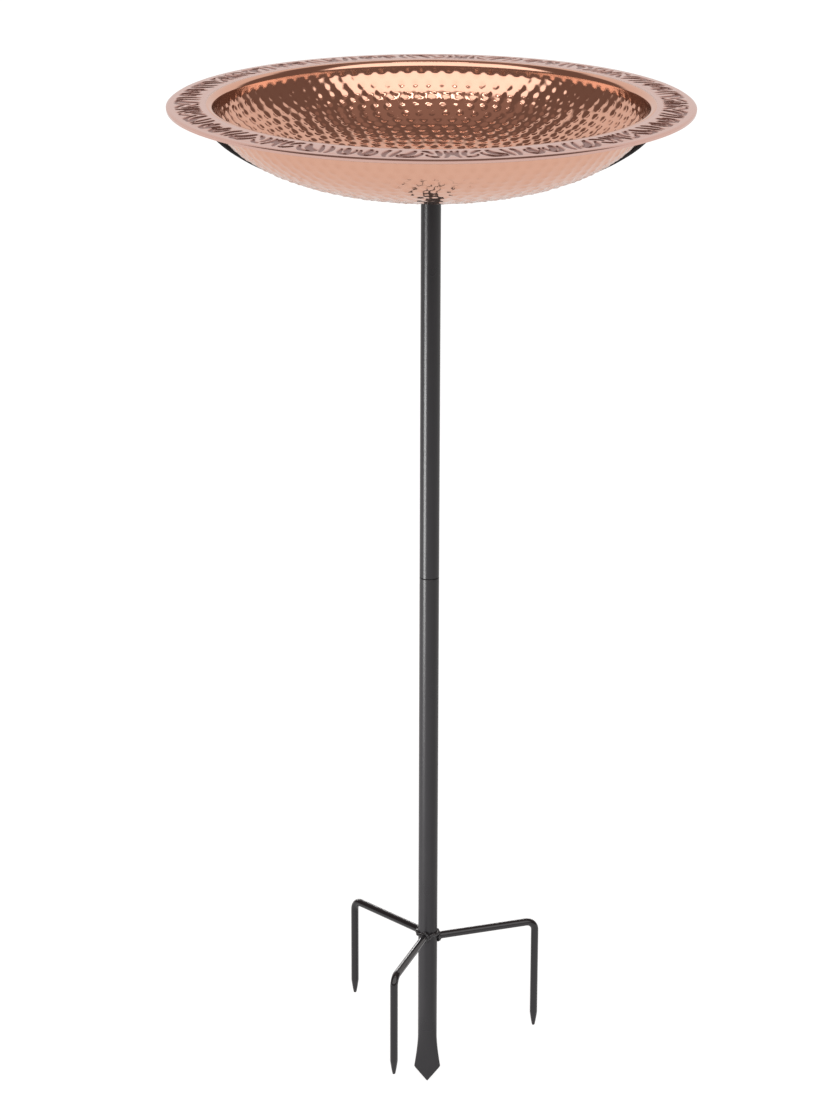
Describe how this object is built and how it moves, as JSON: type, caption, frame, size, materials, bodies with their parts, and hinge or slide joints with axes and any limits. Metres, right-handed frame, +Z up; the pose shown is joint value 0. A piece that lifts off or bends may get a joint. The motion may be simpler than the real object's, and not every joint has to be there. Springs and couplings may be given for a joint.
{
  "type": "bird bath",
  "caption": "Hammered copper bird bath bowl with an embossed rolled rim, cradled on a two-piece steel pole with a pronged garden stake.",
  "frame": {"origin": "on the pole's axis at ground level, which is the underside of the two left prong arms when the stake is pushed in; the right arm is welded on 3 mm lower", "axes": "+Z up along the pole, +X along the flat bar that cradles the bowl, -Y towards the viewer and square to the flat of the stake's point"},
  "size_m": [0.413, 0.413, 0.848],
  "materials": {
    "copper": "hammered and polished copper",
    "brass": "plain turned brass",
    "black_paint": "satin black powder coat on steel",
    "steel": "zinc plated"
  },
  "bodies": {
    "ground_stake": {"lower_tube": "black_paint", "lower_joint_sleeve": "steel", "joint_stud": "steel", "prong_right": "black_paint", "prong_back_left": "black_paint", "prong_front_left": "black_paint"},
    "upper_pole": {"upper_tube": "black_paint", "upper_joint_sleeve": "steel", "top_sleeve": "steel"},
    "cradle": {"cradle_strap": "black_paint"},
    "bowl": {"bowl": "copper", "rim_wire": "steel", "bowl_stud": "brass"}
  },
  "joints": [
    {"name": "upper_pole_lift", "type": "slide", "parent": "ground_stake", "child": "upper_pole", "axis": [0, 0, 1], "range_m": [0, 0.04]},
    {"name": "cradle_swivel", "type": "hinge", "parent": "upper_pole", "child": "cradle", "pos_m": [0, 0, 0.6381], "axis": [0, 0, 1], "continuous": true},
    {"name": "bowl_lift", "type": "slide", "parent": "cradle", "child": "bowl", "axis": [0, 0, 1], "range_m": [0, 0.05]}
  ]
}
